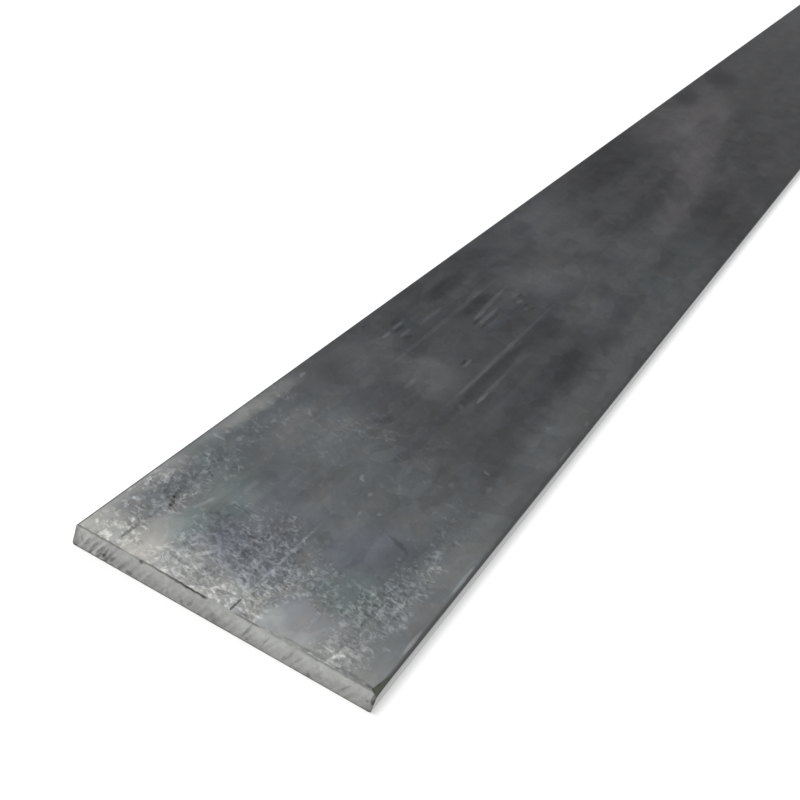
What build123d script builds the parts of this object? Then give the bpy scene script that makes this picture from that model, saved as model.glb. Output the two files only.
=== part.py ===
from build123d import *
import os

# A length of aluminium flat bar, extruded to a rectangular section and sawn off square at both ends.
#
# Millimetres, +Z up. The bar lies on one broad face: its length runs along X, its width along Y
# and its thickness along Z. The origin is the middle of the underside. The near end is at -X.

# The stock
length = 1000.0  # one length as it is sold
width = 40.0  # across the broad faces
thickness = 3.0
edge_radius = 0.35  # the extrusion die leaves this round on the four long edges

# The knocked corner: a blow has flattened the near end's top corner on the -Y side. The flat
# is the triangle between three points, each measured from the sharp corner along one edge.
knock_along_edge = 5.0
knock_across_end = 0.9
knock_down_corner = 0.7


def extruded_bar():
    """The drawn section, square to its length and as long as it is sold."""
    section = Plane.YZ * RectangleRounded(width, thickness, edge_radius)
    return Pos(0, 0, thickness / 2) * extrude(section, length / 2, both=True)


def knocked_flat():
    """The plane of the knock. Its upper side is the side that the blow took away."""
    corner = Vector(-length / 2, -width / 2, thickness)
    on_long_edge = corner + Vector(knock_along_edge, 0, 0)
    on_end_edge = corner + Vector(0, knock_across_end, 0)
    on_corner_edge = corner - Vector(0, 0, knock_down_corner)
    towards_end = on_end_edge - on_long_edge
    outward = towards_end.cross(on_corner_edge - on_long_edge)
    return Plane(origin=on_long_edge, x_dir=towards_end, z_dir=outward)


def flat_bar():
    return split(extruded_bar(), bisect_by=knocked_flat(), keep=Keep.BOTTOM)


os.makedirs("parts", exist_ok=True)
export_step(flat_bar(), "parts/flat_bar.step")
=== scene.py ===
"""Dresses a length of aluminium flat bar: its sawn ends, its mill finish and the studio it lies in."""

import math

import bmesh
import bpy
from mathutils import Matrix, Vector


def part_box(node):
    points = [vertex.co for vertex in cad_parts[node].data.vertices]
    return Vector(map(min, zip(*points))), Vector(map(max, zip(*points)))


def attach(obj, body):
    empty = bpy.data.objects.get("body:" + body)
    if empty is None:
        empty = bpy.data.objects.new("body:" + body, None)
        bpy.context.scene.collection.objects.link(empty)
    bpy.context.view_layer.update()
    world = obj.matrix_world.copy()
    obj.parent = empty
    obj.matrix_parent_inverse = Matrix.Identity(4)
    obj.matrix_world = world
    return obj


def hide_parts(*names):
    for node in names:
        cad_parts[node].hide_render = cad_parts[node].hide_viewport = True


bl_info = {
    "name": "Aluminium Flat Bar",
    "version": (1, 0, 0),
    "blender": (4, 5, 0),
    "location": "3D View > Sidebar > Flat Bar",
    "description": "Adds a dressed length of mill-finish aluminium flat bar and a plain studio",
    "category": "Object",
}

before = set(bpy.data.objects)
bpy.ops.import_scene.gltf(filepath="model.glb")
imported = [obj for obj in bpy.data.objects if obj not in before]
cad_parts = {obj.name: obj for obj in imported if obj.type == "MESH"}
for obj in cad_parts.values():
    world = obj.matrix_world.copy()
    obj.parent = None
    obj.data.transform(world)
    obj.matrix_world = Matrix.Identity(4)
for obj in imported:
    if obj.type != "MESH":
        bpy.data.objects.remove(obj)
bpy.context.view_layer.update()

# The bar's box comes from the frame. Patterns and sizes are worked out in millimetres.
MM = 0.001
BAR_NODE = "flat_bar"
BAR_LOW, BAR_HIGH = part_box(BAR_NODE)
LENGTH, WIDTH, THICKNESS = (BAR_HIGH - BAR_LOW) / MM
NEAR_X = BAR_LOW.x / MM

# The bisect operator takes points nearer than this to its plane as lying in it.
CUT_TOLERANCE = 1e-7


def linear(hex_code):
    """The linear colour, with full alpha, of an sRGB hex colour."""
    channels = [int(hex_code[i : i + 2], 16) / 255 for i in (1, 3, 5)]
    return (*(c / 12.92 if c <= 0.04045 else ((c + 0.055) / 1.055) ** 2.4 for c in channels), 1.0)


def size_property(name, description, millimetres):
    return bpy.props.FloatProperty(
        name=name, description=description, default=millimetres * MM, min=0.0, unit="LENGTH", precision=5
    )


def angle_property(name, description, degrees):
    return bpy.props.FloatProperty(
        name=name, description=description, default=math.radians(degrees), subtype="ANGLE"
    )


def colour_property(name, description, hex_code):
    return bpy.props.FloatVectorProperty(
        name=name, description=description, default=linear(hex_code),
        size=4, min=0.0, max=1.0, subtype="COLOR",
    )


def number_property(name, description, number):
    return bpy.props.FloatProperty(name=name, description=description, default=number)


class BarShape(bpy.types.PropertyGroup):
    """Sizes of the bar's edges and of the relief on its sawn ends."""

    edge_radius: size_property("Edge radius", "Round on the four long edges", 0.35)
    knock_along_edge: size_property("Knock along edge", "Reach of the knocked corner along the bar", 5.0)
    knock_across_end: size_property("Knock across end", "Reach of the knocked corner across the end", 0.9)
    knock_down_corner: size_property("Knock down corner", "Reach of the knocked corner down the end", 0.7)
    end_cell: size_property("End cell", "Width of a mesh cell on the sawn ends", 0.16)
    saw_pitch: size_property("Saw pitch", "Usual spacing of the saw marks", 0.95)
    saw_slant: angle_property("Saw slant", "Angle of the saw marks from level", 62.0)
    saw_depth: size_property("Saw depth", "Depth of the saw marks", 0.06)
    burr_depth: size_property("Burr depth", "Depth of the torn line below a sawn end's top edge", 0.14)


class BarFinish(bpy.types.PropertyGroup):
    """Colours of the bar's surfaces."""

    # The ridge and groove colours are painted highlight and painted shade of the saw marks' relief
    cut_ridge_highlight: colour_property("Cut ridge", "Ridges of the saw marks", "#C1C2BF")
    cut_metal: colour_property("Cut metal", "Sawn metal between its ridges and its grooves", "#A4A5A2")
    cut_groove_shade: colour_property("Cut groove", "Bottoms of the saw marks", "#7A7B77")
    # The burr colour is partly dirt in the torn line and partly painted shadow under the burr
    burr: colour_property("Burr", "Torn line below a sawn end's top edge", "#55534E")
    bruise: colour_property("Bruise", "Flattened metal of the knocked corner", "#52554E")


class StudioSettings(bpy.types.PropertyGroup):
    """Light and camera."""

    key_strength: number_property("Key", "Strength of the high soft light", 1.7)
    rim_strength: number_property("Rim", "Strength of the low soft light", 0.55)
    ambient: number_property("Ambient", "Strength of the light from all around", 0.35)
    lens: number_property("Lens", "Focal length in millimetres", 65.9)
    heading: angle_property("Heading", "Turn of the camera about the upright, from facing +Y", -74.318)
    dip: angle_property("Dip", "How far the camera looks below level", 29.270)
    roll: angle_property("Roll", "Turn of the camera about its own line of sight", 19.099)


def add_node(tree, kind, inputs, out=0, stops=(), **settings):
    """Adds a node, sets its options and feeds its inputs with values or sockets. Returns an output."""
    node = tree.nodes.new(kind)
    for name, value in settings.items():
        setattr(node, name, value)
    for index, (position, colour) in enumerate(stops):
        if index == len(node.color_ramp.elements):
            node.color_ramp.elements.new(position)
        node.color_ramp.elements[index].position = position
        node.color_ramp.elements[index].color = colour
    for key, value in inputs.items():
        if isinstance(value, bpy.types.NodeSocket):
            tree.links.new(value, node.inputs[key])
        else:
            node.inputs[key].default_value = value
    return node.outputs[out] if len(node.outputs) else node


def level_stops(*levels):
    """Ramp stops that carry plain numbers, each given as a position and a level."""
    return [(position, (level, level, level, 1.0)) for position, level in levels]


def colour_stops(*colours, span=1.0):
    """Ramp stops, each given as a place and an sRGB hex colour. The ramp reaches over the span."""
    return [(place / span, linear(hex_code)) for place, hex_code in colours]


# Patterns of the sawn ends, shared by the mesh's relief and the material, so that they use only nodes
# that both kinds of tree have. Their lengths are millimetres, and a noise's scale is how many of its
# grains lie in one.

# Nearly all of a noise lies between these levels.
NOISE_LOW = 0.3
NOISE_HIGH = 0.7
WAVE_PITCH = 0.314  # spacing of a wave texture's bands at a scale of 1

# How the marks differ across the bar's width, from the -Y edge at 0 to the +Y edge at 1
SAW_BITE = level_stops(
    (0.0, 0.18), (0.3, 0.2), (0.5, 0.3), (0.65, 0.2), (0.8, 0.3), (0.86, 0.95), (1.0, 0.9)
)
BURR_STRENGTH = level_stops(
    (0.02, 0.5), (0.22, 0.5), (0.25, 0.2), (0.33, 0.35), (0.37, 0.1), (0.39, 0.6), (0.45, 0.6),
    (0.47, 0.0), (0.55, 0.0), (0.56, 1.0), (0.64, 1.0), (0.66, 0.75), (0.75, 0.6), (0.82, 0.15),
    (0.85, 0.45), (0.98, 0.5),
)
# From the top face down to the torn line
BURR_DROP = level_stops((0.0, 0.14), (0.54, 0.14), (0.56, 0.36), (0.64, 0.26), (0.76, 0.1), (1.0, 0.14))
MARK_DRAWN_OUT = (1.0, 1.0, 0.35)  # a mark wavers less along itself than across
BURR_WANDER = 0.09  # how far the torn line strays up or down
BURR_FULL = 0.06  # the torn line is full this near to its middle
BURR_GONE = 0.26  # and gone this far from it
TOP_UNEVENNESS = 0.045  # how far up or down the saw left the top edge
TOP_REACH = 0.5  # how far below the top edge its unevenness dies away
RELIEF_REACH = 0.4  # how far from the end all relief dies away


def place_at_end(tree, place):
    """The place as the saw met it, and its y and z. Seen from outside, both ends are cut alike."""
    x, y, z = add_node(tree, "ShaderNodeSeparateXYZ", {0: place}).node.outputs
    outward = add_node(tree, "ShaderNodeMath", {0: x}, operation="SIGN")
    turned = add_node(tree, "ShaderNodeMath", {0: y, 1: outward}, operation="MULTIPLY")
    flipped = add_node(tree, "ShaderNodeMath", {0: turned, 1: -1.0}, operation="MULTIPLY")
    return add_node(tree, "ShaderNodeCombineXYZ", {"X": x, "Y": flipped, "Z": z}), flipped, z


def level_across(tree, y, stops):
    """The level that the stops give across the bar, from the -Y edge at 0 to the +Y edge at 1."""
    share = add_node(
        tree, "ShaderNodeMapRange", {"Value": y, "From Min": -WIDTH / 2, "From Max": WIDTH / 2}
    )
    return add_node(tree, "ShaderNodeValToRGB", {"Fac": share}, stops=stops)


def saw_marks(tree, place, shape):
    """The slanted marks that the blade left: 0 on a ridge, 1 in a groove's bottom, and 0.5 between."""
    place, y, z = place_at_end(tree, place)
    slant = shape.saw_slant - math.radians(90)
    upright = add_node(
        tree, "ShaderNodeVectorRotate", {"Vector": place, "Angle": slant}, rotation_type="X_AXIS"
    )
    drawn = add_node(tree, "ShaderNodeVectorMath", {0: upright, 1: MARK_DRAWN_OUT}, operation="MULTIPLY")
    bands = add_node(
        tree, "ShaderNodeTexWave",
        {"Vector": drawn, "Scale": WAVE_PITCH / (shape.saw_pitch / MM), "Distortion": 4.0, "Detail": 2.0,
         "Detail Scale": 1.6},
        "Fac", bands_direction="Y",
    )
    bite = level_across(tree, y, SAW_BITE)
    # The marks are lost in patches, and they weaken upwards.
    lost = add_node(tree, "ShaderNodeTexNoise", {"Vector": drawn, "Scale": 0.9, "Detail": 2.0})
    kept = add_node(tree, "ShaderNodeMapRange", {"Value": lost, "From Min": 0.38, "From Max": 0.58})
    strength = add_node(tree, "ShaderNodeMath", {0: bite, 1: kept}, operation="MULTIPLY")
    upwards = add_node(
        tree, "ShaderNodeMapRange",
        {"Value": z, "From Min": 0.6, "From Max": 2.6, "To Min": 1.0, "To Max": 0.35},
    )
    strength = add_node(tree, "ShaderNodeMath", {0: strength, 1: upwards}, operation="MULTIPLY")
    swing = add_node(tree, "ShaderNodeMath", {0: bands, 1: 0.5}, operation="SUBTRACT")
    return add_node(tree, "ShaderNodeMath", {0: swing, 1: strength, 2: 0.5}, operation="MULTIPLY_ADD")


def burr_line(tree, place):
    """1 along the torn line below the end's top edge, and 0 away from it."""
    place, y, z = place_at_end(tree, place)
    torn = level_across(tree, y, BURR_STRENGTH)
    noise = add_node(tree, "ShaderNodeTexNoise", {"Vector": place, "Scale": 1.1, "Detail": 3.0})
    drop = level_across(tree, y, BURR_DROP)
    middle = add_node(tree, "ShaderNodeMath", {0: THICKNESS, 1: drop}, operation="SUBTRACT")
    wander = add_node(
        tree, "ShaderNodeMapRange",
        {"Value": noise, "From Min": NOISE_LOW, "From Max": NOISE_HIGH,
         "To Min": -BURR_WANDER, "To Max": BURR_WANDER},
    )
    above = add_node(tree, "ShaderNodeMath", {0: z, 1: middle}, operation="SUBTRACT")
    off = add_node(tree, "ShaderNodeMath", {0: above, 1: wander}, operation="SUBTRACT")
    apart = add_node(tree, "ShaderNodeMath", {0: off}, operation="ABSOLUTE")
    near = add_node(
        tree, "ShaderNodeMapRange", {"Value": apart, "From Min": BURR_GONE, "From Max": BURR_FULL},
        interpolation_type="SMOOTHSTEP",
    )
    return add_node(tree, "ShaderNodeMath", {0: near, 1: torn}, operation="MULTIPLY")


def depth_of_cut(tree, place, shape):
    """How deep the saw marks and the torn line go, in metres."""
    marks = saw_marks(tree, place, shape)
    cut = add_node(tree, "ShaderNodeMath", {0: marks, 1: shape.saw_depth}, operation="MULTIPLY")
    burr = burr_line(tree, place)
    return add_node(
        tree, "ShaderNodeMath", {0: burr, 1: shape.burr_depth, 2: cut}, operation="MULTIPLY_ADD"
    )


def lift_of_top(tree, place, z):
    """How far the uneven top edge lies up or down, in metres. It is 0 away from that edge."""
    uneven = add_node(tree, "ShaderNodeTexNoise", {"Vector": place, "Scale": 1.7, "Detail": 3.0})
    lift = add_node(
        tree, "ShaderNodeMapRange",
        {"Value": uneven, "From Min": NOISE_LOW, "From Max": NOISE_HIGH,
         "To Min": -TOP_UNEVENNESS * MM, "To Max": TOP_UNEVENNESS * MM},
    )
    at_top = add_node(
        tree, "ShaderNodeMapRange", {"Value": z, "From Min": THICKNESS - TOP_REACH, "From Max": THICKNESS}
    )
    return add_node(tree, "ShaderNodeMath", {0: lift, 1: at_top}, operation="MULTIPLY")


def relief_tree(shape):
    """Geometry nodes that cut the saw marks and the burr into both ends."""
    tree = bpy.data.node_groups.new("Sawn end relief", "GeometryNodeTree")
    for way in ("INPUT", "OUTPUT"):
        tree.interface.new_socket(name="Geometry", in_out=way, socket_type="NodeSocketGeometry")
    mesh = add_node(tree, "NodeGroupInput", {})
    position = add_node(tree, "GeometryNodeInputPosition", {})
    place = add_node(tree, "ShaderNodeVectorMath", {0: position, "Scale": 1 / MM}, operation="SCALE")
    x, _, z = add_node(tree, "ShaderNodeSeparateXYZ", {0: place}).node.outputs
    outward = add_node(tree, "ShaderNodeMath", {0: x}, operation="SIGN")
    inward = add_node(tree, "ShaderNodeMath", {0: outward, 1: -1.0}, operation="MULTIPLY")
    reach = add_node(tree, "ShaderNodeMath", {0: x}, operation="ABSOLUTE")
    at_end = add_node(
        tree, "ShaderNodeMapRange",
        {"Value": reach, "From Min": LENGTH / 2 - RELIEF_REACH, "From Max": LENGTH / 2},
        interpolation_type="SMOOTHSTEP",
    )
    depth = depth_of_cut(tree, place, shape)
    shift = add_node(tree, "ShaderNodeMath", {0: depth, 1: inward}, operation="MULTIPLY")
    offset = add_node(tree, "ShaderNodeCombineXYZ", {"X": shift, "Z": lift_of_top(tree, place, z)})
    faded = add_node(tree, "ShaderNodeVectorMath", {0: offset, "Scale": at_end}, operation="SCALE")
    moved = add_node(tree, "GeometryNodeSetPosition", {"Geometry": mesh, "Offset": faded})
    add_node(tree, "NodeGroupOutput", {"Geometry": moved})
    return tree


# Modelling

SMOOTH_ANGLE = math.radians(35)  # faces that meet at less than this are shaded as one


def select_parts(piece, mode, test):
    """Selects, in edit mode, the edges or the faces that pass a test, and nothing else."""
    bpy.ops.mesh.select_all(action="DESELECT")
    bpy.ops.mesh.select_mode(type=mode)
    mesh = bmesh.from_edit_mesh(piece.data)
    for part in mesh.edges if mode == "EDGE" else mesh.faces:
        part.select_set(test(part))
    bmesh.update_edit_mesh(piece.data)


def runs_along_bar(edge):
    return abs(edge.verts[0].co.x - edge.verts[1].co.x) > LENGTH * MM / 2


def make_bar(shape):
    """Adds the plain bar, with its long edges rounded and its corner knocked."""
    bpy.ops.object.select_all(action="DESELECT")
    bpy.ops.mesh.primitive_cube_add(size=1, location=(BAR_LOW + BAR_HIGH) / 2, scale=BAR_HIGH - BAR_LOW)
    piece = bpy.context.object
    piece.name = piece.data.name = "dressed_bar"
    bpy.ops.object.transform_apply(location=True, rotation=True, scale=True)
    bpy.ops.object.mode_set(mode="EDIT")
    select_parts(piece, "EDGE", runs_along_bar)
    bpy.ops.mesh.bevel(offset=shape.edge_radius, segments=4, affect="EDGES")
    knock_corner(shape)
    bpy.ops.object.mode_set(mode="OBJECT")
    return piece


def knock_corner(shape):
    """Flattens the near end's top corner on the -Y side, as in the construction."""
    corner = Vector((BAR_LOW.x, BAR_LOW.y, BAR_HIGH.z))
    on_long_edge = corner + Vector((shape.knock_along_edge, 0, 0))
    on_end_edge = corner + Vector((0, shape.knock_across_end, 0))
    on_corner_edge = corner - Vector((0, 0, shape.knock_down_corner))
    outward = (on_end_edge - on_long_edge).cross(on_corner_edge - on_long_edge).normalized()
    bpy.ops.mesh.select_all(action="SELECT")
    bpy.ops.mesh.bisect(
        plane_co=on_long_edge, plane_no=outward, use_fill=True, clear_outer=True, threshold=CUT_TOLERANCE
    )


def assign_finishes(piece, finishes):
    """Gives each face its material by the way it faces, while the faces are still few and whole."""
    for material in finishes.values():
        piece.data.materials.append(material)
    # The broad faces and the rounds pass no test, and keep the first finish.
    tests = {
        "narrow": lambda face: abs(face.normal.y) > 0.99,
        "sawn": lambda face: abs(face.normal.x) > 0.9,
        "crushed": lambda face: 0.1 < abs(face.normal.x) < 0.9,
    }
    bpy.ops.object.mode_set(mode="EDIT")
    for name, test in tests.items():
        select_parts(piece, "FACE", test)
        piece.active_material_index = list(finishes).index(name)
        bpy.ops.object.material_slot_assign()
    bpy.ops.object.mode_set(mode="OBJECT")


def cut_square(axis, places):
    """Cuts what is in edit mode by planes square to an axis, at places in millimetres."""
    normal = Vector([float(i == axis) for i in range(3)])
    for place in places:
        bpy.ops.mesh.select_all(action="SELECT")
        bpy.ops.mesh.bisect(plane_co=normal * place * MM, plane_no=normal, threshold=CUT_TOLERANCE)


def even_places(low, high, cell):
    """Places of the cuts that divide a span into cells of about the given width."""
    count = max(1, round((high - low) / cell))
    return [low + (high - low) * i / count for i in range(1, count)]


def cut_cells(shape):
    """Divides the bar by planes: close together across it, and closer towards its top and its ends."""
    cell = shape.end_cell / MM
    radius = shape.edge_radius / MM
    side = WIDTH / 2 - radius
    # Counted down from the top face and in from each end
    below_top = (0.06, 0.12, 0.18, 0.25, 0.33, 0.42, 0.54, 0.68, 0.84)
    from_end = (0.08, 0.18, 0.32, 0.5, 0.8, 1.4, 2.8, 6, 15, 40, 100, 250)
    bpy.ops.object.mode_set(mode="EDIT")
    cut_square(1, even_places(-side, side, cell))
    lowest = THICKNESS - below_top[-1]
    cut_square(2, [THICKNESS - t for t in below_top] + even_places(radius, lowest, cell))
    cut_square(0, [NEAR_X + t for t in from_end] + [-NEAR_X - t for t in from_end])
    bpy.ops.object.mode_set(mode="OBJECT")


def apply_relief(piece, shape):
    """Moves the ends' vertices to where the saw left the metal."""
    relief = piece.modifiers.new("Relief", "NODES")
    relief.node_group = relief_tree(shape)
    bpy.ops.object.modifier_apply(modifier=relief.name)


class FLATBAR_OT_add_bar(bpy.types.Operator):
    """Adds the dressed bar in the place of its construction solid"""

    bl_idname = "flatbar.add_bar"
    bl_label = "Add Flat Bar"

    def execute(self, context):
        shape, finish = context.scene.bar_shape, context.scene.bar_finish
        piece = make_bar(shape)
        finishes = {
            "extruded": extruded_aluminium(),
            "narrow": extruded_aluminium_side(),
            "sawn": sawn_aluminium(shape, finish),
            "crushed": crushed_aluminium(finish),
        }
        assign_finishes(piece, finishes)
        cut_cells(shape)
        apply_relief(piece, shape)
        bpy.ops.object.shade_smooth_by_angle(angle=SMOOTH_ANGLE)
        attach(piece, "root")
        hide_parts(BAR_NODE)
        return {"FINISHED"}


# Materials. Lengths in them are millimetres.


def new_material(name):
    material = bpy.data.materials.new(name)
    material.use_nodes = True
    material.node_tree.nodes.clear()
    return material


def place_in_mm(tree):
    """The place on the bar in millimetres, with x counted from the near end."""
    own = add_node(tree, "ShaderNodeTexCoord", {}, "Object")
    return add_node(
        tree, "ShaderNodeMapping", {"Vector": own, "Location": (-NEAR_X, 0, 0), "Scale": (1 / MM,) * 3}
    )


def place_from_end(tree, place):
    """The place with x counted from the nearer end, moved to the top face from wherever it is."""
    x, y, _ = add_node(tree, "ShaderNodeSeparateXYZ", {0: place}).node.outputs
    off_middle = add_node(tree, "ShaderNodeMath", {0: x, 1: LENGTH / 2}, operation="SUBTRACT")
    apart = add_node(tree, "ShaderNodeMath", {0: off_middle}, operation="ABSOLUTE")
    from_end = add_node(tree, "ShaderNodeMath", {0: LENGTH / 2, 1: apart}, operation="SUBTRACT")
    return add_node(tree, "ShaderNodeCombineXYZ", {"X": from_end, "Y": y, "Z": THICKNESS})


def wandering(tree, place, grain, reach, detail=3.0):
    """The place moved about by a noise, so that a plain outline turns irregular."""
    noise = add_node(
        tree, "ShaderNodeTexNoise", {"Vector": place, "Scale": 1 / grain, "Detail": detail}, "Color"
    )
    centred = add_node(tree, "ShaderNodeVectorMath", {0: noise, 1: (0.5, 0.5, 0.5)}, operation="SUBTRACT")
    flat = add_node(
        tree, "ShaderNodeVectorMath", {0: centred, 1: (reach, reach, 0.0)}, operation="MULTIPLY"
    )
    return add_node(tree, "ShaderNodeVectorMath", {0: flat, 1: place}, operation="ADD")


def oval(tree, place, middle, turns, reach, strength, softness):
    """The strength inside an oval and 0 outside it. The softness is the share of its reach that fades."""
    inside = add_node(
        tree, "ShaderNodeMapping",
        {"Vector": place, "Location": middle, "Rotation": turns, "Scale": reach},
        vector_type="TEXTURE",
    )
    cone = add_node(tree, "ShaderNodeTexGradient", {"Vector": inside}, "Fac", gradient_type="SPHERICAL")
    return add_node(
        tree, "ShaderNodeMapRange", {"Value": cone, "From Max": softness, "To Max": strength},
        interpolation_type="SMOOTHSTEP",
    )


def spot(tree, place, middle, reach, turn, strength, softness=0.7):
    """An oval on the top face. Its turn is in degrees."""
    turns = (0, 0, math.radians(turn))
    return oval(tree, place, (*middle, THICKNESS), turns, (*reach, 1.0), strength, softness)


def grains(tree, place, along, across):
    """A noise of grains of the given length and width, from about -0.5 to 0.5."""
    drawn = add_node(
        tree, "ShaderNodeMapping", {"Vector": place, "Scale": (1 / along, 1 / across, 1 / across)}
    )
    noise = add_node(tree, "ShaderNodeTexNoise", {"Vector": drawn, "Scale": 1.0, "Detail": 3.0})
    return add_node(
        tree, "ShaderNodeMapRange",
        {"Value": noise, "From Min": NOISE_LOW, "From Max": NOISE_HIGH, "To Min": -0.5, "To Max": 0.5},
    )


def uneven_tone(tree, place, patterns, tone):
    """A tone varied by grains, each pattern given as its length, its width and how much it counts."""
    for along, across, amount in patterns:
        pattern = grains(tree, place, along, across)
        tone = add_node(
            tree, "ShaderNodeMath", {0: pattern, 1: amount, 2: tone}, operation="MULTIPLY_ADD"
        )
    return tone


def patches(tree, place, length, width, turn):
    """Crisp patches of the given length and width. Each has its own random colour."""
    moved = wandering(tree, place, grain=width * 2, reach=width, detail=1.0)
    # The turn also shifts the pattern, so that patterns with different turns don't look alike.
    drawn = add_node(
        tree, "ShaderNodeMapping",
        {"Vector": moved, "Location": (turn, -turn, 0), "Rotation": (0, 0, math.radians(turn)),
         "Scale": (length, width, width)},
        vector_type="TEXTURE",
    )
    return add_node(tree, "ShaderNodeTexVoronoi", {"Vector": drawn, "Scale": 1.0}, "Color")


# Across one scuff: a dark line on one side, painted shade of its relief, and a bright one where it is
# rubbed bare, partly a painted glint.
# The plain level stands for metal that isn't scuffed.
PLAIN = 0.3
SCUFF_GLINT_AND_SHADE = level_stops((0.3, PLAIN), (0.38, 0.0), (0.45, PLAIN), (0.53, 1.0), (0.64, PLAIN))

# In grains: a scuff's length, and the length and width of the chips that it is broken into
SCUFF_LENGTH = 1.5
CHIP_LENGTH = 0.65
CHIP_WIDTH = 0.45


def scuffs(tree, place, grain, turn, density):
    """Short curled scuffs: up to 0.7 where one is bright, -0.3 where it is dark, and 0 elsewhere."""
    moved = add_node(
        tree, "ShaderNodeMapping",
        {"Vector": place, "Location": (turn, -turn, 0), "Rotation": (0, 0, math.radians(turn)),
         "Scale": (grain * SCUFF_LENGTH, grain, grain)},
        vector_type="TEXTURE",
    )
    noise = add_node(
        tree, "ShaderNodeTexNoise", {"Vector": moved, "Scale": 1.0, "Detail": 1.0, "Distortion": 0.6}
    )
    profile = add_node(tree, "ShaderNodeValToRGB", {"Fac": noise}, stops=SCUFF_GLINT_AND_SHADE)
    both = add_node(tree, "ShaderNodeMath", {0: profile, 1: PLAIN}, operation="SUBTRACT")
    # Each chip shows or hides its stretch of scuff by chance, and more show where scuffs are dense.
    chips = patches(tree, place, grain * CHIP_LENGTH, grain * CHIP_WIDTH, turn)
    chance = add_node(tree, "ShaderNodeSeparateXYZ", {0: chips}, "X")
    fill = add_node(tree, "ShaderNodeMath", {0: density, 1: 0.7, 2: chance}, operation="MULTIPLY_ADD")
    shown = add_node(tree, "ShaderNodeMapRange", {"Value": fill, "From Min": 0.95, "From Max": 1.15})
    return add_node(tree, "ShaderNodeMath", {0: both, 1: shown}, operation="MULTIPLY")


def metal_shader(tree, colour, roughness, height, edge_tint="#B0B0B0"):
    """A metal surface: its reflection's colour, its roughness, and its fine relief in millimetres."""
    bump = add_node(tree, "ShaderNodeBump", {"Height": height, "Distance": MM, "Strength": 1.0})
    metal = add_node(
        tree, "ShaderNodeBsdfPrincipled",
        {"Base Color": colour, "Metallic": 1.0, "Roughness": roughness, "Normal": bump,
         "Specular Tint": linear(edge_tint)},
    )
    add_node(tree, "ShaderNodeOutputMaterial", {"Surface": metal})


# Tone of the broad faces by distance from the nearer end, partly painted reflection. Knocks, wet hands
# and stacking have left the ends bare and bright; the rest of their lightness, and the dark grey further
# along, stand in for what the metal reflects.
TONE_SPAN = 200.0
TONE_AND_REFLECTION_BY_DISTANCE = colour_stops(
    (0, "#757574"), (3, "#6B6C6B"), (6, "#616263"), (10, "#57595B"), (18, "#4E5052"), (40, "#4B4D4F"),
    (55, "#444547"), (95, "#454648"), (120, "#4D4E51"), (150, "#515254"), (180, "#4C4C4E"),
    span=TONE_SPAN,
)

# Smudges of the top face, with blotches of painted reflection among them: middle, reach along and
# across, turn in degrees, kind and strength. Here and in the rubs, a middle is counted from the near end
# and from the bar's middle line.
SMUDGES_AND_REFLECTIONS = (
    (1, 17, 4, 7, 0, "bare", 0.2),
    (4, -7.5, 4.5, 3.5, 0, "steel", 0.14),
    (2.6, 0.5, 2, 2.5, 0, "bare", 0.1),
    (3, 4.8, 2.5, 1.5, 0, "dark", 0.2),
    (3, -4.5, 2, 1.5, 0, "bare", 0.12),
    (12, 6, 3, 5, 0, "dark", 0.3),
    (9, 5.5, 4, 2.5, 0, "dark", 0.4),
    (14, 13.8, 3, 1, 0, "bare", 0.1),
    (16, 18.3, 6, 1.5, 0, "pale", 0.15),
    (40, 18.3, 10, 1.2, 0, "pale", 0.25),
    (0, -20, 5, 5, 0, "dark", 0.15),
    (6, 12, 5, 2.5, 10, "bare", 0.12),
    (14, 19.5, 9, 1.4, 0, "bare", 0.15),
    (14, 8, 4, 3, 0, "dark", 0.4),
    (13, 1.5, 3, 9, 0, "dark", 0.12),
    (20, 5, 3, 2.5, 0, "dark", 0.12),
    (13.5, 14, 3, 1.5, 10, "dark", 0.3),
    (13, -10, 5, 4, 0, "green", 0.4),
    (18, 9.5, 6, 3.5, 0, "green", 0.3),
    (24, 14.5, 6, 4, 20, "green", 0.25),
    (10, 11, 4, 2, 0, "green", 0.5),
    (22, -7.5, 7, 4, -15, "blue", 0.5),
    (11, 3, 7, 5, 10, "blue", 0.35),
    (22, 4, 5, 3, 20, "blue", 0.3),
    (23, -11, 5, 2, -10, "dark", 0.25),
    (29, 6.5, 7, 4.5, 10, "dark", 0.3),
    (25, -17.5, 16, 3, 0, "pale", 0.25),
    (37, 19.3, 12, 1.2, 0, "bare", 0.12),
    (28, 14, 8, 4, 0, "dark", 0.2),
    (40, 10, 10, 5, 0, "pale", 0.12),
    (37, -6, 6, 3, 0, "dark", 0.12),
    (59, 15.5, 6, 2.5, 8, "dark", 0.3),
    (66, 14, 9, 5, 0, "pale", 0.1),
    (69, 5, 6, 6, 0, "pale", 0.15),
    (115, 16, 9, 5, 0, "dark", 0.25),
    (90, -17, 60, 3.5, 0, "pale", 0.2),
    (122, 3, 15, 5, -25, "pale", 0.2),
    (116, -6, 8, 5, 0, "pale", 0.15),
    (137, 11, 17, 9, 0, "pale", 0.08),
    (157, -11, 25, 9, 0, "green", 0.15),
    (200, 15.5, 32, 5, 0, "dark", 0.35),
    (190, -13, 22, 6, 0, "dark", 0.15),
    (205, -2, 38, 3.5, 6, "warm", 0.3),
    (255, 6.5, 45, 6, 6, "warm", 0.35),
    (243, 14, 24, 8, 0, "warm", 0.2),
    (273, 16.5, 8, 3, 0, "dark", 0.5),
    (307, 14.5, 11, 4, 0, "dark", 0.5),
)
SMUDGE_AND_REFLECTION_RIM = 1.4  # each blotch has faded out at this many times its reach
SMUDGE_AND_REFLECTION_COLOURS = {
    "bare": "#A2A39E",
    "pale": "#7A7B7B",
    "dark": "#303133",
    "warm": "#6E6A6C",
    "green": "#566060",
    "blue": "#4E525A",
    "steel": "#858A94",
}
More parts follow.
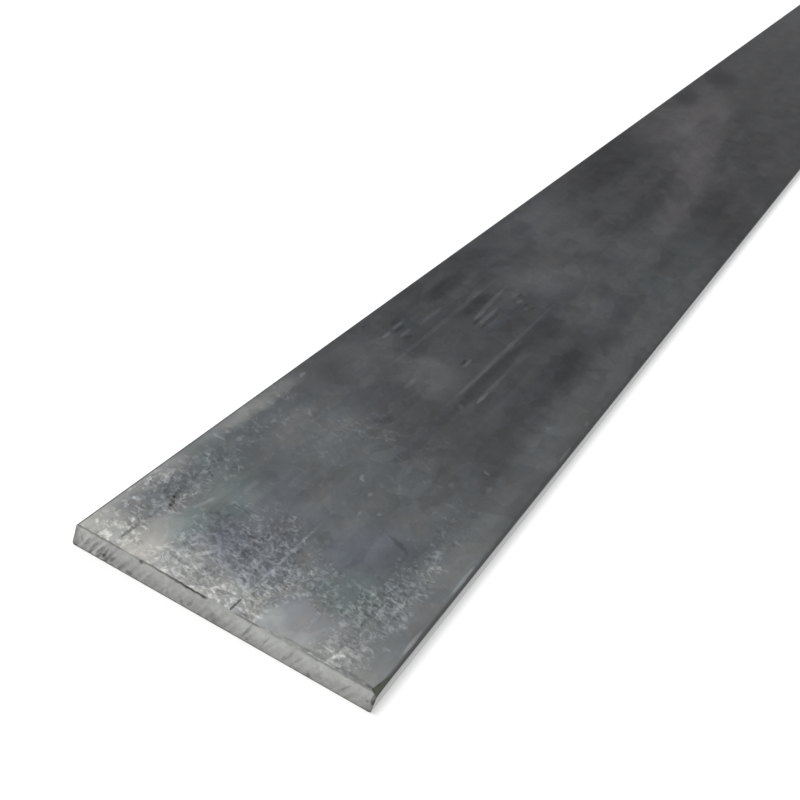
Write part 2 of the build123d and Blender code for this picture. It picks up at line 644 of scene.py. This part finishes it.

# Rubs and knocks of the top face: middle, length, width, turn, and how much lighter or darker they are.
# Where a dent has a bright and a dark part side by side, they are partly painted glint and shade of its
# relief.
RUBS = (
    # lanes and long rubs
    (82, -9.8, 54, 4.2, 0, -0.11),
    (101, -3, 22, 5, 0, -0.18),
    (77, -2.4, 33, 2.2, 0, -0.25),
    (76, -5.2, 26, 3, 0, -0.12),
    (99.5, 15.2, 20, 3.6, 0, -0.25),
    (98.5, 9, 13, 2, 0, -0.13),
    (88, -0.85, 54, 0.7, 0, 0.22),
    (89.5, -0.9, 7, 0.9, 0, 0.2),
    (74, -1.05, 18, 0.5, 0, 0.15),
    (88, 10.3, 46, 0.8, 0, 0.2),
    (101, 10.7, 7, 1, 0, 0.25),
    (101.5, 7.5, 19, 0.8, 3, 0.3),
    (95.5, 7, 6, 0.7, 0, 0.25),
    (96.5, 5.8, 10, 0.7, 0, 0.35),
    (95.5, 5, 9, 0.8, 0, -0.22),
    (93, 6.5, 5, 0.6, 0, -0.25),
    (87.5, 12.7, 10, 0.8, 0, 0.25),
    (74, -3.9, 14, 0.7, 0, 0.2),
    (88.5, -4, 7, 1, -5, 0.15),
    # short dents of the middle
    (108.3, 5.6, 3.6, 0.8, 0, 0.2),
    (107.3, 4, 3.2, 0.8, 0, 0.4),
    (105.5, 2.1, 2, 0.7, 0, 0.3),
    (109.8, 4.8, 3, 0.7, 0, -0.25),
    (107.3, 2.7, 2.4, 0.6, 0, -0.25),
    (107, 1.2, 2.4, 0.5, 0, -0.2),
    (70, -4, 5, 0.6, 0, 0.45),
    (79, 15.05, 4.2, 0.6, 0, 0.5),
    (74.5, 14.9, 3.6, 0.6, 0, 0.4),
    (78.2, 14.3, 4.2, 0.6, 0, -0.22),
    (79.8, 15.9, 6, 1, 0, -0.16),
    (78, 13.1, 4.4, 0.7, 0, 0.35),
    (76.8, 12.2, 4, 0.8, 0, -0.18),
    (78, 1.95, 4, 0.6, 0, 0.4),
    (77.8, 2.6, 3.2, 0.7, 0, -0.35),
    (64.2, 5.8, 5, 0.7, 0, 0.25),
    (62, 4, 5, 0.6, 0, 0.15),
    (64.6, -2.5, 2, 1, 0, 0.25),
    (70.6, -15, 2.2, 0.7, 0, 0.25),
    (77.4, -19, 2, 0.7, 0, 0.3),
    # dents and rubs nearer the end
    (35.6, 0.1, 2.2, 0.7, 35, 0.6),
    (32.9, -2.6, 1.4, 0.6, 0, 0.4),
    (30.1, -5.5, 1.2, 0.7, 0, 0.5),
    (28.3, -3.5, 1.6, 0.6, 0, 0.4),
    (26.2, -10.2, 5.2, 0.9, 62, -0.25),
    (33, -13.5, 2.6, 0.6, 30, 0.35),
    (28.5, 17.9, 2.4, 0.6, 85, 0.45),
    (30.3, 15.9, 1.4, 0.8, 0, 0.4),
    (38, 15, 1.4, 0.8, 0, 0.3),
    (44, 12.4, 2.4, 0.6, 40, 0.35),
    (44.2, -9.9, 1.6, 0.9, 0, 0.35),
    (47.5, -14.3, 2.4, 0.7, 0, 0.35),
    (51.2, -12.4, 1.6, 0.8, 60, 0.5),
    (52.3, 18.2, 2, 0.8, 0, 0.5),
    (49, 2.4, 3, 0.6, -45, 0.25),
    (45.6, 3.4, 4, 0.7, -45, 0.25),
    (45.4, 5.6, 3.6, 0.8, -60, 0.2),
    (51, 4, 5, 1.6, -25, -0.18),
    (39.6, -11.8, 1.6, 1, 0, 0.25),
    (16.5, 17.9, 3.6, 0.6, 5, 0.4),
    (18.2, 17.1, 2, 0.6, 80, 0.25),
    (12.8, 14.8, 5, 0.6, 15, -0.4),
    (13.8, 16.5, 3, 0.6, 5, -0.3),
    (10, 13.6, 3, 0.5, -60, 0.35),
    (14.8, 11.7, 4.5, 0.5, -10, 0.3),
    (22.4, 15.9, 1.6, 0.5, 20, 0.4),
    (20.5, 15.2, 1.6, 0.5, 90, 0.3),
    (20.4, 14.4, 1.8, 0.5, 45, -0.4),
    (24.6, 17.2, 2, 0.8, 0, 0.2),
    (22.3, 9.4, 4.4, 0.7, 0, 0.2),
    (13, -0.9, 20, 0.4, 0, 0.35),
    (17.8, -0.9, 1, 0.5, 0, 0.5),
    (12.2, -1, 1.3, 0.6, 0, 0.5),
    (1.1, -0.9, 4, 0.28, 0, -0.6),
    (3.5, 15, 4.5, 0.5, 0, -0.35),
    (15.7, -14.8, 3, 0.6, 80, 0.7),
    (14.2, -15.4, 2, 0.5, 0, 0.35),
    (18.3, -13.5, 2, 0.5, 0, 0.45),
    (14.9, -10.8, 3.4, 0.5, 85, 0.35),
    (12.2, -17.6, 1.1, 0.7, 0, 0.5),
    (2.4, -12.5, 1.8, 0.6, 70, 0.6),
    (2.1, -14, 2, 0.6, -30, 0.7),
    (5.3, 15.6, 1.2, 0.9, 60, 0.35),
    (5.3, 14.2, 1.8, 0.5, 90, 0.4),
    (3.4, 16.6, 2.4, 0.5, 90, 0.3),
    (2.8, 13.7, 1.4, 0.6, 20, 0.3),
    (1.2, 16.5, 1.2, 0.9, 20, 0.3),
    (1, 14, 1.6, 0.7, 0, 0.3),
    (2.8, 8.2, 1.2, 0.7, 60, 0.5),
    (4.6, 8.8, 2.4, 0.5, 0, 0.35),
    (6.9, 9.8, 1.5, 0.7, 0, 0.35),
    (6.7, 6.3, 2.4, 0.5, -20, 0.35),
    (4.3, 5.5, 2, 0.8, 0, 0.35),
    (2.8, 1.5, 1.3, 0.8, 45, 0.6),
    (5.1, 1, 1.5, 0.9, 0, 0.45),
    (1.6, -4, 1.2, 0.8, 0, 0.3),
    # the lip that the saw rolled over the top edge of the end
    (0.5, -3, 2.8, 0.4, 90, -0.3),
    (0.5, -9.4, 4, 0.5, 90, -0.22),
    (0.55, -12.6, 4.6, 0.8, 90, -0.28),
    (0.6, -16.2, 4.2, 0.8, 90, -0.28),
    (0.4, -18.8, 1.8, 0.7, 90, -0.4),
    # the edge, where it was chafed
    (26, -19.4, 8, 0.5, 0, 0.5),
    (10.5, -19.4, 6, 0.5, 0, 0.5),
    (66, -19.4, 6, 0.5, 0, 0.4),
)
RAGGED_BELOW = 6.0  # a rub shorter than this has a ragged outline
STREAK = 6.0  # a rub more than this many times as long as it is wide is a straight streak
RUB_REACH = (0.55, 0.6)  # shares of its length and width that a rub reaches out: half, and a soft rim
RUB_SOFTNESS = 0.6
STREAK_SOFTNESS = 0.4

# Kinds of scuff: grain, turn and how much lighter
STROKES = ((1.4, 5, 0.75), (1.1, 80, 0.75), (1.25, 40, 0.7))
SCUFF_DEPTH = 0.003  # from the edge that a scuff raises to its bottom
CLUSTER = 4.0  # size of the clusters that scuffs come in

# Kinds of crisp stain: length, width, turn and how much lighter or darker
STAINS = ((1.5, 0.9, 25, 0.07), (3.8, 2.2, -15, 0.15), (12, 4, 5, 0.13), (90, 3, 0, 0.08))
WARM_TINGE = (1.010, 0.998, 0.986, 1.0)
COOL_TINGE = (0.986, 1.002, 1.011, 1.0)

# The rounds' painted dark, a reflection of dark surroundings laid into the colour: where it starts and
# where it is full, counted from the side, and its colour
ROUND_FROM = 0.34
ROUND_FULL = 0.18
ROUND_PAINTED_DARK = linear("#565857")

# Where the broad faces are scuffed: distance from the nearer end, place across, reach along and
# across, and density. One below 0 clears a place.
SCUFFED = (
    (7, 3, 14, 12, 0.85),
    (3, 16, 7, 4, 0.5),
    (13, 16, 9, 5, 0.7),
    (22, 15, 8, 5, 0.37),
    (18, 3, 6, 9, 0.3),
    (8, -14, 14, 4.5, 0.7),
    (19, -14.5, 13, 4, 0.52),
    (11, -7, 7, 7, 0.5),
    (34, -14, 14, 4, 0.17),
    (36, 16, 15, 4, 0.2),
    (47, 3, 9, 9, 0.1),
    (4, -7.5, 5, 3.5, -0.6),
    (42, 2, 26, 22, 0.07),
    (8, 12, 5, 2.5, -0.5),
)


def with_smudges_and_reflections(tree, place, colour):
    """The colour with the top face's smudges and blotches of painted reflection laid over it."""
    moved = wandering(tree, place, grain=3.0, reach=3.0)
    for x, y, along, across, turn, kind, strength in SMUDGES_AND_REFLECTIONS:
        smudge_and_reflection = spot(tree, moved, (x, y), (along * SMUDGE_AND_REFLECTION_RIM, across * SMUDGE_AND_REFLECTION_RIM), turn, strength)
        laid = linear(SMUDGE_AND_REFLECTION_COLOURS[kind])
        colour = add_node(tree, "ShaderNodeMix", {0: smudge_and_reflection, 6: colour, 7: laid}, 2, data_type="RGBA")
    return colour


def rubbed(tree, place, tone):
    """The tone with the top face's rubs and knocks laid over it."""
    moved = wandering(tree, place, grain=6.0, reach=0.8)
    ragged = wandering(tree, moved, grain=0.8, reach=1.0)
    for x, y, length, width, turn, strength in RUBS:
        if length > STREAK * width:
            seen, softness = place, STREAK_SOFTNESS
        else:
            seen, softness = ragged if length < RAGGED_BELOW else moved, RUB_SOFTNESS
        reach = (length * RUB_REACH[0], width * RUB_REACH[1])
        rub = spot(tree, seen, (x, y), reach, turn, strength, softness)
        tone = add_node(tree, "ShaderNodeMath", {0: rub, 1: tone}, operation="ADD")
    return tone


def stained(tree, place, colour):
    """The colour with patches that are lighter or darker, and warmer or cooler."""
    for length, width, turn, amount in STAINS:
        stain = patches(tree, place, length, width, turn)
        level, lean, _ = add_node(tree, "ShaderNodeSeparateXYZ", {0: stain}).node.outputs
        change = add_node(
            tree, "ShaderNodeMath", {0: level, 1: amount, 2: 1 - amount / 2}, operation="MULTIPLY_ADD"
        )
        tinge = add_node(
            tree, "ShaderNodeMix", {0: lean, 6: WARM_TINGE, 7: COOL_TINGE}, 2, data_type="RGBA"
        )
        tinged = add_node(tree, "ShaderNodeVectorMath", {0: tinge, "Scale": change}, operation="SCALE")
        colour = add_node(tree, "ShaderNodeVectorMath", {0: colour, 1: tinged}, operation="MULTIPLY")
    return colour


def rounds_painted_dark(tree, place, colour):
    """The colour, and on the rounds of the long edges one even dark tone, a painted reflection of dark
    surroundings.
    """
    y = add_node(tree, "ShaderNodeSeparateXYZ", {0: place}, "Y")
    aside = add_node(tree, "ShaderNodeMath", {0: y}, operation="ABSOLUTE")
    on_round = add_node(
        tree, "ShaderNodeMapRange",
        {"Value": aside, "From Min": WIDTH / 2 - ROUND_FROM, "From Max": WIDTH / 2 - ROUND_FULL},
    )
    return add_node(tree, "ShaderNodeMix", {0: on_round, 6: colour, 7: ROUND_PAINTED_DARK}, 2, data_type="RGBA")


def scuff_density(tree, place):
    """How densely the broad faces are scuffed, from 0 where they are whole."""
    density = 0.0
    moved = wandering(tree, place, grain=3.0, reach=4.0)
    for x, y, along, across, strength in SCUFFED:
        patch = spot(tree, moved, (x, y), (along, across), 0.0, strength)
        density = add_node(tree, "ShaderNodeMath", {0: patch, 1: density}, operation="ADD")
    clusters = add_node(
        tree, "ShaderNodeTexNoise", {"Vector": place, "Scale": 1 / CLUSTER, "Detail": 2.0}
    )
    gathered = add_node(
        tree, "ShaderNodeMapRange",
        {"Value": clusters, "From Min": 0.36, "From Max": 0.56, "To Min": 0.55, "To Max": 1.15},
    )
    return add_node(tree, "ShaderNodeMath", {0: density, 1: gathered}, operation="MULTIPLY")


def scuffed(tree, place, density, tone):
    """The tone with the broad faces' scuffs laid over it, and the scuffs' height."""
    height = 0.0
    for grain, turn, amount in STROKES:
        strokes = scuffs(tree, place, grain, turn, density)
        tone = add_node(
            tree, "ShaderNodeMath", {0: strokes, 1: amount, 2: tone}, operation="MULTIPLY_ADD"
        )
        height = add_node(
            tree, "ShaderNodeMath", {0: strokes, 1: -SCUFF_DEPTH, 2: height}, operation="MULTIPLY_ADD"
        )
    return tone, height


def extruded_aluminium():
    # Aluminium pressed through a die and left as it comes: grey and silky, with lanes and fine lines
    # along it, and smudges and scuffs from handling that gather towards the ends. Its dark grey, much of
    # its lighter ends and some blotches are painted reflection, and the scuffs carry painted glints and
    # shade.
    material = new_material("Extruded aluminium, mill finish")
    tree = material.node_tree
    place = place_in_mm(tree)
    from_end = place_from_end(tree, place)
    moved = wandering(tree, from_end, grain=4.0, reach=4.0)
    distance = add_node(tree, "ShaderNodeSeparateXYZ", {0: moved}, "X")
    share = add_node(tree, "ShaderNodeMath", {0: distance, 1: TONE_SPAN}, operation="DIVIDE")
    colour = add_node(tree, "ShaderNodeValToRGB", {"Fac": share}, stops=TONE_AND_REFLECTION_BY_DISTANCE)
    colour = with_smudges_and_reflections(tree, place, colour)

    # Lanes and fine lines from the die, soft stains, and the skin's grain, drawn coarser so as to show
    lines = ((240.0, 5.0, 0.16), (90.0, 0.7, 0.05))
    soft_stains = ((26.0, 8.0, 0.2), (8.0, 4.0, 0.08))
    grain_of_skin = ((0.7, 0.45, 0.04),)
    tone = uneven_tone(tree, place, lines + soft_stains + grain_of_skin, 1.0)
    tone = rubbed(tree, place, tone)
    density = scuff_density(tree, from_end)
    tone, height = scuffed(tree, place, density, tone)
    colour = add_node(tree, "ShaderNodeVectorMath", {0: colour, "Scale": tone}, operation="SCALE")
    colour = stained(tree, place, colour)
    colour = rounds_painted_dark(tree, place, colour)
    roughness = add_node(tree, "ShaderNodeMapRange", {"Value": density, "To Min": 0.36, "To Max": 0.44})
    metal_shader(tree, colour, roughness, height)
    return material


# Colour of the narrow sides, from the underside at 0 to the top face at 1
SIDE_COLOUR = colour_stops(
    (0.12, "#BFC1C0"), (0.35, "#B3B5B4"), (0.55, "#A6A8A7"), (0.75, "#8E908F"), (0.88, "#707271")
)
DIE_LINE_DEPTH = 0.001  # of the fine lines that the die drew along the sides


def extruded_aluminium_side():
    # The narrow sides, the same metal as the broad faces but given a bright colour and an untinted edge,
    # so that they mirror the white floor brightly where the broad faces are painted dark; lined along its
    # length and darker towards the top edge
    material = new_material("Extruded aluminium, narrow side")
    tree = material.node_tree
    place = place_in_mm(tree)
    z = add_node(tree, "ShaderNodeSeparateXYZ", {0: place}, "Z")
    share = add_node(tree, "ShaderNodeMath", {0: z, 1: THICKNESS}, operation="DIVIDE")
    colour = add_node(tree, "ShaderNodeValToRGB", {"Fac": share}, stops=SIDE_COLOUR)
    tone = uneven_tone(tree, place, ((60.0, 0.35, 0.12), (9.0, 2.0, 0.12), (1.5, 0.5, 0.06)), 1.0)
    colour = add_node(tree, "ShaderNodeVectorMath", {0: colour, "Scale": tone}, operation="SCALE")
    lines = grains(tree, place, 60.0, 0.2)
    height = add_node(tree, "ShaderNodeMath", {0: lines, 1: DIE_LINE_DEPTH}, operation="MULTIPLY")
    metal_shader(tree, colour, roughness=0.32, height=height, edge_tint="#FFFFFF")
    return material


# How light the sawn end is across the bar, from the -Y edge at 0 to the +Y edge at 1
CUT_SHADE = level_stops(
    (0.0, 0.7), (0.02, 1.02), (0.2, 1.04), (0.36, 1.08), (0.46, 0.98), (0.58, 0.95), (0.7, 1.03),
    (0.85, 0.97), (0.98, 1.0), (1.0, 0.7),
)

# Single marks of the sawn ends, seen from outside: middle across and up, width, height, lean from
# upright in degrees, and how much lighter or darker they are
NICKS = (
    (18.95, 1.6, 0.35, 1.5, -25, -0.2),
    (18.2, 1.4, 0.35, 1.6, 25, -0.36),
    (17.2, 1.4, 0.35, 1.8, 30, -0.38),
    (16.4, 1.2, 0.35, 1.7, 30, -0.33),
    (15.6, 1.2, 0.35, 1.9, 20, -0.38),
    (15.65, 0.75, 0.45, 0.7, 0, -0.3),
    (14.5, 1, 0.4, 1.5, 30, -0.3),
    (13.4, 0.8, 1.4, 1, 0, -0.12),
    (12.1, 0.45, 0.9, 0.5, 0, -0.3),
    (11, 2.65, 0.5, 0.5, 0, -0.5),
    (10.6, 2.35, 0.25, 1, 60, 0.1),
    (9.6, 1.5, 0.35, 1.4, 35, -0.12),
    (7.3, 0.7, 0.3, 0.7, 10, 0.12),
    (7, 0.6, 0.3, 0.7, 20, -0.18),
    (5, 0.5, 0.5, 0.6, 0, -0.28),
    (3.9, 0.9, 0.35, 1.3, 25, -0.22),
    (0.8, 0.8, 0.8, 1.1, -10, -0.16),
    (0.8, 2, 0.35, 1.3, 15, 0.08),
    (-3.55, 1.6, 0.3, 2.5, 22, -0.34),
    (-3.7, 0.5, 0.5, 0.5, 0, -0.22),
    (-3.2, 2.2, 0.9, 0.8, 30, 0.06),
    (-6, 1.4, 0.28, 2.3, 20, -0.26),
    (-9.1, 1.3, 0.3, 2.3, 25, -0.2),
    (-10.3, 1.5, 0.35, 1.7, 35, -0.22),
    (-8.5, 0.6, 0.35, 0.8, 20, -0.18),
    (-12, 0.4, 0.6, 0.5, 0, -0.3),
    (-13.3, 0.7, 0.35, 0.9, 30, -0.14),
    (-13, 2.2, 2.2, 0.7, 50, 0.07),
    (-15.6, 2.2, 1.7, 0.9, 0, 0.07),
    (-16.4, 1.4, 0.3, 1.7, 35, -0.24),
    (-19.1, 1.25, 0.4, 0.45, 30, -0.3),
    (-19.8, 1.9, 0.6, 1.9, 0, -0.45),
)
NICK_REACH = 0.6  # share of its width and height that a nick reaches out: half, and a soft rim
NICK_SOFTNESS = 0.45
THROUGH = LENGTH * 1000  # a nick's reach along the bar, long enough to mark both ends alike
FOOT = 0.3  # height of the darkest strip, a painted contact shadow along a sawn end's lower edge
CUT_GRAIN_DEPTH = 0.004  # of the torn grain between the saw marks


def nicked(tree, place, tone):
    """The tone with the single marks of the sawn end laid over it."""
    for y, z, width, height, lean, strength in NICKS:
        turns = (math.radians(lean), 0, 0)
        reach = (THROUGH, width * NICK_REACH, height * NICK_REACH)
        nick = oval(tree, place, (0, y, z), turns, reach, strength, NICK_SOFTNESS)
        tone = add_node(tree, "ShaderNodeMath", {0: tone, 1: nick}, operation="ADD")
    return tone


def darkened_low(tree, z, tone):
    """The tone darker low on the sawn end, painted shade, and darkest along its foot, a painted contact
    shadow.
    """
    low = add_node(
        tree, "ShaderNodeMapRange",
        {"Value": z, "From Min": 2.2, "From Max": FOOT, "To Min": 0.05, "To Max": -0.15},
        interpolation_type="SMOOTHSTEP",
    )
    foot = add_node(
        tree, "ShaderNodeMapRange", {"Value": z, "From Min": FOOT, "From Max": 0.0, "To Max": -0.4}
    )
    tone = add_node(tree, "ShaderNodeMath", {0: tone, 1: low}, operation="ADD")
    return add_node(tree, "ShaderNodeMath", {0: tone, 1: foot}, operation="ADD")


def sawn_aluminium(shape, finish):
    # Bare metal, bright on the ridges and dull in the grooves where a coarse circular blade tore through
    # it, these being painted highlight and shade of the marks' relief; stained in patches, and darker low
    # down and along its foot, painted shade
    material = new_material("Sawn aluminium, bare")
    tree = material.node_tree
    own = add_node(tree, "ShaderNodeTexCoord", {}, "Object")
    # Counted from the bar's own origin, as in the relief, so that the colours follow its shape
    place = add_node(tree, "ShaderNodeVectorMath", {0: own, "Scale": 1 / MM}, operation="SCALE")
    marks = saw_marks(tree, place, shape)
    # Ridges painted lighter and grooves darker: painted highlight and shade of the saw marks
    downwards = ((0.0, finish.cut_ridge_highlight), (0.5, finish.cut_metal), (1.0, finish.cut_groove_shade))
    colour = add_node(tree, "ShaderNodeValToRGB", {"Fac": marks}, stops=downwards)
    # The torn line below the top edge is darkened partly by dirt and partly as painted shadow under the
    # burr
    burr = burr_line(tree, place)
    colour = add_node(tree, "ShaderNodeMix", {0: burr, 6: colour, 7: finish.burr}, 2, data_type="RGBA")
    seen, y, z = place_at_end(tree, place)
    shade = level_across(tree, y, CUT_SHADE)
    tone = uneven_tone(tree, place, ((3.0, 2.2, 0.18), (1.0, 0.6, 0.16), (0.3, 0.3, 0.08)), shade)
    tone = nicked(tree, wandering(tree, seen, grain=0.5, reach=0.4), tone)
    tone = darkened_low(tree, z, tone)
    colour = add_node(tree, "ShaderNodeVectorMath", {0: colour, "Scale": tone}, operation="SCALE")
    fine = grains(tree, place, 0.3, 0.3)
    height = add_node(tree, "ShaderNodeMath", {0: fine, 1: CUT_GRAIN_DEPTH}, operation="MULTIPLY")
    metal_shader(tree, colour, roughness=0.45, height=height)
    return material


DENT_DEPTH = 0.01  # of the small dents in the knocked corner


def crushed_aluminium(finish):
    # Metal flattened by the knock, darker than the faces around it
    material = new_material("Crushed aluminium")
    tree = material.node_tree
    place = place_in_mm(tree)
    tone = uneven_tone(tree, place, ((0.9, 0.5, 0.5),), 1.0)
    bruise = finish.bruise[:3]
    colour = add_node(tree, "ShaderNodeVectorMath", {0: bruise, "Scale": tone}, operation="SCALE")
    dents = grains(tree, place, 0.6, 0.3)
    height = add_node(tree, "ShaderNodeMath", {0: dents, 1: DENT_DEPTH}, operation="MULTIPLY")
    metal_shader(tree, colour, roughness=0.45, height=height)
    return material


# The studio. Its own lengths are metres.

FLOOR_SIZE = 30.0
FLOOR_GAP = 0.00001  # the floor lies this far below the bar, so that the two don't share a plane
BOARD_LIFT = 0.5  # light of its own that the board shows where it is looked at
CAMERA_FROM_END = (-0.120602, -0.045392, 0.107162)  # from the middle of the near end's bottom edge
NEAREST_SEEN = 0.01  # the camera sees nothing nearer than this


def seen_directly(tree):
    """1 for what the camera, a reflection or glass sees, and 0 for light that falls on a surface."""
    rays = ("Camera", "Glossy", "Transmission")
    camera, glossy, transmission = (
        add_node(tree, "ShaderNodeLightPath", {}, f"Is {ray} Ray") for ray in rays
    )
    either = add_node(tree, "ShaderNodeMath", {0: camera, 1: glossy}, operation="MAXIMUM")
    return add_node(tree, "ShaderNodeMath", {0: either, 1: transmission}, operation="MAXIMUM")


def white_board():
    # A painted board, matt, which takes soft shadows and mirrors nothing
    material = new_material("White board, matt")
    tree = material.node_tree
    diffuse = add_node(tree, "ShaderNodeBsdfDiffuse", {"Color": linear("#CACACA")})
    lift = add_node(tree, "ShaderNodeMath", {0: seen_directly(tree), 1: BOARD_LIFT}, operation="MULTIPLY")
    glow = add_node(tree, "ShaderNodeEmission", {"Strength": lift})
    both = add_node(tree, "ShaderNodeAddShader", {0: diffuse, 1: glow})
    add_node(tree, "ShaderNodeOutputMaterial", {"Surface": both})
    return material


def white_world(settings):
    """White where it is seen, and as strong as the ambient setting where it only gives light."""
    world = bpy.data.worlds.new("White studio")
    world.use_nodes = True
    tree = world.node_tree
    tree.nodes.clear()
    seen = seen_directly(tree)
    strength = add_node(
        tree, "ShaderNodeMapRange", {"Value": seen, "To Min": settings.ambient, "To Max": 1.0}
    )
    white = linear("#FFFFFF")
    background = add_node(tree, "ShaderNodeBackground", {"Color": white, "Strength": strength})
    add_node(tree, "ShaderNodeOutputWorld", {"Surface": background})
    return world


def add_soft_sun(name, azimuth, elevation, spread, strength):
    """A wide sun, which lights the bar evenly from one side. The azimuth turns from +X towards +Y."""
    azimuth, elevation = math.radians(azimuth), math.radians(elevation)
    level = math.cos(elevation)
    towards = Vector((math.cos(azimuth) * level, math.sin(azimuth) * level, math.sin(elevation)))
    bpy.ops.object.light_add(type="SUN", rotation=towards.to_track_quat("Z", "Y").to_euler())
    lamp = bpy.context.object
    lamp.name = name
    lamp.data.energy = strength
    lamp.data.angle = math.radians(spread)


class FLATBAR_OT_add_studio(bpy.types.Operator):
    """Adds a white floor, soft lights and the camera"""

    bl_idname = "flatbar.add_studio"
    bl_label = "Add Studio"

    def execute(self, context):
        settings = context.scene.studio_settings
        bpy.ops.mesh.primitive_plane_add(size=FLOOR_SIZE, location=(0, 0, BAR_LOW.z - FLOOR_GAP))
        floor = context.object
        floor.name = "studio_floor"
        floor.data.materials.append(white_board())
        context.scene.world = white_world(settings)
        add_soft_sun("key", azimuth=110, elevation=75, spread=22, strength=settings.key_strength)
        add_soft_sun("rim", azimuth=35, elevation=42, spread=35, strength=settings.rim_strength)
        turn = (
            Matrix.Rotation(settings.heading, 4, "Z")
            @ Matrix.Rotation(math.radians(90) - settings.dip, 4, "X")
            @ Matrix.Rotation(settings.roll, 4, "Z")
        )
        place = Vector((BAR_LOW.x, 0, BAR_LOW.z)) + Vector(CAMERA_FROM_END)
        bpy.ops.object.camera_add(location=place, rotation=turn.to_euler())
        camera = context.object
        camera.data.lens = settings.lens
        camera.data.clip_start = NEAREST_SEEN
        context.scene.camera = camera
        context.scene.view_settings.view_transform = "Standard"
        return {"FINISHED"}


class FLATBAR_PT_sidebar(bpy.types.Panel):
    """Lists the operators"""

    bl_idname = "FLATBAR_PT_sidebar"
    bl_label = "Flat Bar"
    bl_space_type = "VIEW_3D"
    bl_region_type = "UI"
    bl_category = "Flat Bar"

    def draw(self, context):
        self.layout.operator("flatbar.add_bar")
        self.layout.operator("flatbar.add_studio")


CLASSES = (
    BarShape, BarFinish, StudioSettings, FLATBAR_OT_add_bar, FLATBAR_OT_add_studio, FLATBAR_PT_sidebar
)


def register():
    for cls in CLASSES:
        bpy.utils.register_class(cls)
    bpy.types.Scene.bar_shape = bpy.props.PointerProperty(type=BarShape)
    bpy.types.Scene.bar_finish = bpy.props.PointerProperty(type=BarFinish)
    bpy.types.Scene.studio_settings = bpy.props.PointerProperty(type=StudioSettings)


def unregister():
    del bpy.types.Scene.studio_settings, bpy.types.Scene.bar_finish, bpy.types.Scene.bar_shape
    for cls in reversed(CLASSES):
        bpy.utils.unregister_class(cls)


def main():
    """Adds the bar and its studio."""
    register()
    bpy.ops.flatbar.add_bar()
    bpy.ops.flatbar.add_studio()


if __name__ == "__main__":
    main()
